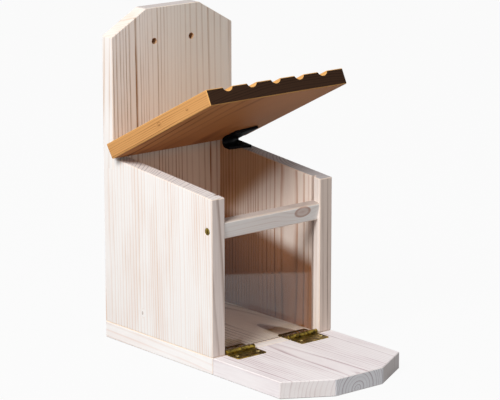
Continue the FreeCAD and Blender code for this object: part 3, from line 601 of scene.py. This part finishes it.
def choose(piece, kind, test):
    """Selects only the vertices, edges or faces whose middle passes the test."""
    bpy.ops.object.mode_set(mode="EDIT")
    bpy.ops.mesh.select_mode(type=kind)
    bpy.ops.mesh.select_all(action="DESELECT")
    bpy.ops.object.mode_set(mode="OBJECT")
    mesh = piece.data
    parts = {"VERT": mesh.vertices, "EDGE": mesh.edges, "FACE": mesh.polygons}[kind]
    for part in parts:
        if kind == "VERT":
            middle = part.co
        else:
            middle = sum((mesh.vertices[index].co for index in part.vertices), Vector()) / len(part.vertices)
        part.select = test(middle)
    bpy.ops.object.mode_set(mode="EDIT")


def apply_all(piece):
    """Applies the modifiers in order."""
    bpy.ops.object.select_all(action="DESELECT")
    bpy.context.view_layer.objects.active = piece
    piece.select_set(True)
    for modifier in list(piece.modifiers):
        bpy.ops.object.modifier_apply(modifier=modifier.name)


def join(pieces, name):
    """Joins the pieces into one mesh under this name."""
    bpy.ops.object.select_all(action="DESELECT")
    for piece in pieces:
        piece.select_set(True)
    bpy.context.view_layer.objects.active = pieces[0]
    if len(pieces) > 1:
        bpy.ops.object.join()
    pieces[0].name = name
    return pieces[0]


# %% The turned body of a screw: head face at the origin, shank pointing down
HEAD_SIDES = 20
HEAD_RIM = 0.15 * MM
CORE_STEP = 0.2 * MM
NEAR = 0.01 * MM
# shares of the length below the cone
PLAIN_SHARE = 0.3
THREADED_SHARE = 1 - PLAIN_SHARE
# shares of the shank's width
CORE_SHARE = 0.7
POINT_ROOM = 1.5
POINT_LENGTH = 1.4
POINT_WIDTH = 0.1
# how much of the dome each inset rises, and how much narrower it gets
DOME_STEPS = ((0.6, 0.8), (0.3, 0.6), (0.1, 0.6))


def turned_screw(head, shank, length, dome):
    """Extrudes a disc into rim, cone, plain shank, threaded core and point. Sizes in metres."""
    bpy.ops.object.select_all(action="DESELECT")
    bpy.ops.mesh.primitive_circle_add(vertices=HEAD_SIDES, radius=head / 2, fill_type="NGON")
    screw = bpy.context.object
    bpy.ops.object.mode_set(mode="EDIT")
    bpy.ops.mesh.select_all(action="SELECT")
    cone = (head - shank) / 2
    core = CORE_SHARE * shank
    steps = [
        (HEAD_RIM, head), (cone, shank), (PLAIN_SHARE * (length - cone), shank), (CORE_STEP, core),
        (THREADED_SHARE * (length - cone) - POINT_ROOM * shank, core),
        (POINT_LENGTH * shank, POINT_WIDTH * shank)]
    width = head
    for drop, next_width in steps:
        bpy.ops.mesh.extrude_region_move(TRANSFORM_OT_translate={"value": (0, 0, -drop)})
        bpy.ops.transform.resize(value=(next_width / width, next_width / width, 1))
        width = next_width
    choose(screw, "FACE", lambda middle: abs(middle.z) < NEAR)
    for rise, narrowing in DOME_STEPS:
        bpy.ops.mesh.inset(thickness=NEAR / 100)
        bpy.ops.transform.resize(value=(narrowing, narrowing, 1))
        bpy.ops.transform.translate(value=(0, 0, rise * dome))
    bpy.ops.mesh.select_all(action="SELECT")
    bpy.ops.mesh.normals_make_consistent(inside=False)
    bpy.ops.object.mode_set(mode="OBJECT")
    return screw


# %% The cross recess for the driver
BLADE_SHARE = 0.2
BLADE_TAPER = 0.45
CUT_ABOVE = 0.1 * MM


def cut_cross(screw, width, depth, dome):
    """Cuts two tapered blades out of the head."""
    blade = BLADE_SHARE * width
    top = dome + CUT_ABOVE
    for size_x, size_y in ((width, blade), (blade, width)):
        bpy.ops.object.select_all(action="DESELECT")
        bpy.ops.mesh.primitive_cube_add(size=1, location=(0, 0, (top - depth) / 2))
        cutter = bpy.context.object
        cutter.scale = (size_x, size_y, top + depth)
        bpy.ops.object.transform_apply(location=True, rotation=True, scale=True)
        choose(cutter, "FACE", lambda middle: middle.z < NEAR - depth)
        bpy.ops.transform.resize(value=(BLADE_TAPER, BLADE_TAPER, 1))
        bpy.ops.object.mode_set(mode="OBJECT")
        cut = screw.modifiers.new("recess", "BOOLEAN")
        cut.object = cutter
        apply_all(screw)
        bpy.data.objects.remove(cutter)


# %% The thread: a triangle wound round the core
THREAD_SUNK = 0.1 * MM
THREAD_STEPS = 14


def wound_thread(core, crest, pitch, turns, foot):
    """A closed ridge from the level foot upwards. Sizes in metres."""
    root = core / 2 - THREAD_SUNK
    # a triangle is one and a half times as deep as the radius round its corners
    radius = (crest / 2 - root) / 1.5
    bpy.ops.object.select_all(action="DESELECT")
    bpy.ops.mesh.primitive_circle_add(
        vertices=3, radius=radius, location=(0, root + radius / 2, foot), rotation=(0, math.radians(90), 0))
    ridge = bpy.context.object
    bpy.ops.object.transform_apply(location=True, rotation=True, scale=True)
    winding = ridge.modifiers.new("winding", "SCREW")
    winding.screw_offset = pitch
    winding.iterations = turns
    winding.steps = winding.render_steps = THREAD_STEPS
    apply_all(ridge)
    bpy.ops.object.mode_set(mode="EDIT")
    bpy.ops.mesh.select_all(action="SELECT")
    bpy.ops.mesh.fill_holes(sides=0)
    bpy.ops.mesh.normals_make_consistent(inside=False)
    bpy.ops.object.mode_set(mode="OBJECT")
    return ridge


# %% One whole screw: the recess in shares of the head's width, the thread in shares of the shank's
RECESS_WIDTH = 0.55
RECESS_DEPTH = 0.28
PITCH_SHARE = 0.33
UNWOUND_SHARE = 1.8


def wood_screw(name, head, shank, length, dome=0.0):
    """One finished screw. Sizes in metres."""
    screw = turned_screw(head, shank, length, dome)
    cut_cross(screw, RECESS_WIDTH * head, RECESS_DEPTH * head, dome)
    pitch = PITCH_SHARE * shank
    turns = int((THREADED_SHARE * length - UNWOUND_SHARE * shank) / pitch)
    ridge = wound_thread(CORE_SHARE * shank, shank, pitch, turns, POINT_LENGTH * shank - length)
    screw = join([screw, ridge], name)
    print(name, "has", len(screw.data.polygons), "faces and", turns, "turns of thread")
    return screw


# %% Rows of screws in the places of the CAD screws
def screw_row(node, pattern, head, way, count, material):
    """Copies of the pattern, with the shanks pointing the way, in place of the node."""
    low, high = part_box(node)
    axis = max(range(3), key=lambda index: abs(way[index]))
    first, last = low + Vector((head / 2,) * 3), high - Vector((head / 2,) * 3)
    first[axis] = last[axis] = low[axis] if way[axis] > 0 else high[axis]
    turn = Vector(way).to_track_quat("-Z", "Y").to_matrix().to_4x4()
    copies = []
    for index in range(count):
        copy = pattern.copy()
        copy.data = pattern.data.copy()
        scene.collection.objects.link(copy)
        copy.data.transform(Matrix.Translation(first.lerp(last, index / max(count - 1, 1))) @ turn)
        copies.append(copy)
    row = join(copies, f"threaded_{node}")
    bpy.ops.object.shade_smooth_by_angle(angle=SOFT_BELOW)
    row.data.materials.clear()
    row.data.materials.append(material)
    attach(row, "landing" if "landing" in node else "box")
    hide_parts(node)


# %% The screws, modelled once in the sizes of the CAD screws and then copied
HEAD, SHANK = 8 * MM, 4 * MM
BASE_LENGTH, RAIL_LENGTH = 45 * MM, 40 * MM
LEAF_HEAD, LEAF_SHANK, LEAF_LENGTH = 4.8 * MM, 3 * MM, 14 * MM
LEAF_DOME = 0.8 * MM
UP, DOWN = (0, 0, 1), (0, 0, -1)
base_screw = wood_screw("base_wood_screw", HEAD, SHANK, BASE_LENGTH)
rail_screw = wood_screw("rail_wood_screw", HEAD, SHANK, RAIL_LENGTH)
flat_screw = wood_screw("flat_leaf_screw", LEAF_HEAD, LEAF_SHANK, LEAF_LENGTH)
domed_screw = wood_screw("domed_leaf_screw", LEAF_HEAD, LEAF_SHANK, LEAF_LENGTH, dome=LEAF_DOME)
screw_row("back_board_screws", base_screw, HEAD, UP, 2, yellow_zinc)
for side, inward in (("left", (1, 0, 0)), ("right", (-1, 0, 0))):
    screw_row(f"{side}_panel_screws", base_screw, HEAD, UP, 3, yellow_zinc)
    screw_row(f"{side}_rail_screw", rail_screw, HEAD, inward, 1, brass)
    for leaf, leaf_screw in (("base", flat_screw), ("landing", domed_screw)):
        screw_row(f"{side}_{leaf}_leaf_screws", leaf_screw, LEAF_HEAD, DOWN, 2,
                  rubbed_brass)
for pattern in (base_screw, rail_screw, flat_screw, domed_screw):
    bpy.data.objects.remove(pattern)

# %% [markdown]
# ## The rubber strip that hinges the lid
# A black strip of sheet rubber, a little over 3 mm thick, is nailed on the right panel's sloping top, folds
# back at the rear and runs forward again under the lid. It is one bent sheet, so it is made like one: a
# plane on the panel, its rear edge spun about the middle of the fold and then extruded along the lid, and
# Solidify for the thickness. Over the panel the two boards squeeze the fold and push it back, so it is
# scaled toward the line where they would meet. Inside the box nothing holds the rubber: it stays round and
# sags a little.

# %% Where the strip lies
ROOF_SLOPE = math.radians(5.32)
PANEL_FRONT_HEIGHT = 195.25 * MM
FOLD_RADIUS = 6.2 * MM
RUBBER = 3.15 * MM
INNER_END, OUTER_END = 53 * MM, 79.5 * MM
strip_low, strip_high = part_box("right_rubber_hinge")
panel_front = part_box("right_side_panel")[0].y


def panel_top(y):
    """Height of the right panel's sloping top."""
    return PANEL_FRONT_HEIGHT + (y - panel_front) * math.tan(ROOF_SLOPE)


middle_x = (INNER_END + OUTER_END) / 2
fold_y = strip_high.y - FOLD_RADIUS
fold = Vector((middle_x, fold_y, panel_top(fold_y) + FOLD_RADIUS / math.cos(ROOF_SLOPE)))
turn_y = fold_y + FOLD_RADIUS * math.sin(ROOF_SLOPE)
end_y = panel_front + (strip_low.z - PANEL_FRONT_HEIGHT) / math.tan(ROOF_SLOPE)
down_panel = Vector((0, -math.cos(ROOF_SLOPE), -math.sin(ROOF_SLOPE)))
up_lid = Vector((0, -math.cos(LID_OPENING), math.sin(LID_OPENING)))
print("middle of the fold in mm:", [round(value / MM, 1) for value in fold])

# %% Fold the strip: a leg on the panel, the bend, and a leg under the lid
COLUMNS = 13
FOLD_STEPS = 14
AT_EDGE = 0.1 * MM
middle_y = (turn_y + end_y) / 2
bpy.ops.object.select_all(action="DESELECT")
bpy.ops.mesh.primitive_plane_add(
    size=1, location=(middle_x, middle_y, panel_top(middle_y)), rotation=(ROOF_SLOPE, 0, 0))
strip = bpy.context.object
strip.name = "folded_rubber_strip"
strip.scale = (OUTER_END - INNER_END, (turn_y - end_y) / math.cos(ROOF_SLOPE), 1)
bpy.ops.object.transform_apply(location=True, rotation=True, scale=True)
choose(strip, "EDGE", lambda middle: abs(middle.x - middle_x) < AT_EDGE)
bpy.ops.mesh.subdivide(number_cuts=COLUMNS - 1)
choose(strip, "EDGE", lambda middle: middle.y > turn_y - AT_EDGE)
bpy.ops.mesh.spin(
    steps=FOLD_STEPS, angle=math.pi - ROOF_SLOPE - LID_OPENING, center=fold, axis=(-1, 0, 0))
lid_leg_y = fold_y + FOLD_RADIUS * math.sin(LID_OPENING)
reach = (lid_leg_y - strip_low.y - RUBBER * math.sin(LID_OPENING)) / math.cos(LID_OPENING)
bpy.ops.mesh.extrude_region_move(TRANSFORM_OT_translate={"value": reach * up_lid})
bpy.ops.object.mode_set(mode="OBJECT")
print("leg under the lid in mm:", round(reach / MM, 1))

# %% Squeeze the fold over the panel, and cut both ends a little askew
SQUEEZE = 0.93
SQUEEZED_FROM = 64.5 * MM
END_SLANT = 8.5 * MM
BEFORE_FOLD = 1 * MM
half_wedge = (LID_OPENING + ROOF_SLOPE) / 2
half_tilt = (LID_OPENING - ROOF_SLOPE) / 2
to_meeting = Vector((0, math.cos(half_tilt), -math.sin(half_tilt)))
meeting = fold + FOLD_RADIUS / math.sin(half_wedge) * to_meeting
legs = ((down_panel, lambda z: z < fold.z), (up_lid, lambda z: z > fold.z))
# each column takes along all that lies outside it, so squeeze and slant grow toward the outer end
for column in range(1, COLUMNS + 1):
    from_x = INNER_END + (column - 0.5) * (OUTER_END - INNER_END) / COLUMNS
    if from_x > SQUEEZED_FROM:
        choose(strip, "VERT", lambda middle: middle.x > from_x and middle.y > turn_y - AT_EDGE)
        bpy.ops.transform.resize(value=(1, SQUEEZE, SQUEEZE), center_override=meeting)
    for forward, on_leg in legs:
        choose(strip, "VERT", lambda middle: (
            middle.x > from_x and middle.y < turn_y - BEFORE_FOLD and on_leg(middle.z)))
        bpy.ops.transform.translate(value=END_SLANT / COLUMNS * forward)

# %% Let it sag toward its inner end, and give it its thickness
SAG_STEPS = ((67, 0.3), (63, 0.4), (59, 0.4))
SOFT_EDGE = 0.5 * MM
for up_to_x, drop in SAG_STEPS:
    choose(strip, "VERT", lambda middle: middle.x < up_to_x * MM and middle.z < fold.z)
    bpy.ops.transform.translate(value=(0, 0, -drop * MM))
bpy.ops.mesh.select_all(action="SELECT")
bpy.ops.mesh.normals_make_consistent(inside=False)
bpy.ops.object.mode_set(mode="OBJECT")
if strip.data.polygons[0].normal.z > 0:
    strip.data.flip_normals()
sheet_wall = strip.modifiers.new("rubber", "SOLIDIFY")
sheet_wall.thickness = RUBBER
sheet_wall.offset = -1
cut_edges = strip.modifiers.new("cut_edges", "BEVEL")
cut_edges.width = SOFT_EDGE
cut_edges.segments = 2
cut_edges.limit_method = "ANGLE"
apply_all(strip)
bpy.ops.object.shade_smooth_by_angle(angle=SOFT_BELOW)
low, high = strip.bound_box[0], strip.bound_box[6]
print("strip from", [round(value / MM, 1) for value in low], "to", [round(value / MM, 1) for value in high])

# %% Black sheet rubber: almost black and dull, with a faint grey bloom in specks of about a millimetre
RUBBER_SPECK = 0.8 * MM
rubber, tree, shader = new_material("black_sheet_rubber", Roughness=0.6, Specular_IOR_Level=0.1)
place = add_node(tree, "TexCoord")
grit = add_node(tree, "Mapping", {"Vector": place.outputs["Object"], "Scale": (1 / RUBBER_SPECK,) * 3})
grain = add_node(tree, "TexNoise", {"Vector": grit.outputs[0], "Scale": 1.0, "Detail": 3.0})
bloom = add_node(tree, "MapRange", {"Value": grain.outputs["Fac"], "From Min": 0.45, "From Max": 0.8})
look = add_node(tree, "Mix", {
    0: bloom.outputs[0], MIX_A: colour("040406"), MIX_B: colour("111014")}, data_type="RGBA")
tree.links.new(look.outputs[MIXED], shader.inputs["Base Color"])
bump = add_node(tree, "Bump", {"Height": grain.outputs["Fac"], "Strength": 0.3, "Distance": BUMP_HEIGHT})
tree.links.new(bump.outputs[0], shader.inputs["Normal"])
strip.data.materials.append(rubber)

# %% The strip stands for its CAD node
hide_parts("right_rubber_hinge")
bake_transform(strip)

# %% [markdown]
# ## The pane
# The window is a cast acrylic sheet, 3 mm thick, polished on both faces. Acrylic mirrors a few hundredths of
# what stands before it. In the photograph its lower part mirrors the bright landing board and looks hazy,
# with a clear upper edge, and above that it mirrors something dark. In this white studio it would mirror
# white everywhere, so the refractive index falls from acrylic's own to a lower one at the height of that
# edge. Shadow rays pass the pane by, because Cycles would otherwise keep the lamp's light out of the box.

# %% Clear acrylic
ACRYLIC_IOR = 1.49
CLEAR_IOR = 1.2
HAZE_EDGE = 95.5 * MM
HAZE_BLUR = 3 * MM
# the edge falls a little to the right
HAZE_UP = (0.15, 0, 1)
pane_material, pane_tree, pane_shader = new_material(
    "clear_cast_acrylic", Roughness=0.0, IOR=ACRYLIC_IOR, Transmission_Weight=1.0)
place = add_node(pane_tree, "TexCoord")
height = add_node(pane_tree, "VectorMath", {0: place.outputs["Object"], 1: HAZE_UP}, operation="DOT_PRODUCT")
bending = add_node(pane_tree, "MapRange", {
    "Value": height.outputs["Value"], "From Min": HAZE_EDGE, "From Max": HAZE_EDGE + HAZE_BLUR,
    "To Min": ACRYLIC_IOR, "To Max": CLEAR_IOR})
pane_tree.links.new(bending.outputs["Result"], pane_shader.inputs["IOR"])
open_way = add_node(pane_tree, "BsdfTransparent")
path = add_node(pane_tree, "LightPath")
lit = add_node(pane_tree, "Math", {0: path.outputs["Is Shadow Ray"], 1: path.outputs["Is Diffuse Ray"]},
               operation="MAXIMUM")
mix = add_node(pane_tree, "MixShader", {
    0: lit.outputs[0], 1: pane_shader.outputs[0], 2: open_way.outputs[0]})
pane_tree.links.new(mix.outputs[0], pane_tree.nodes["Material Output"].inputs["Surface"])
dress("window_pane", pane_material)
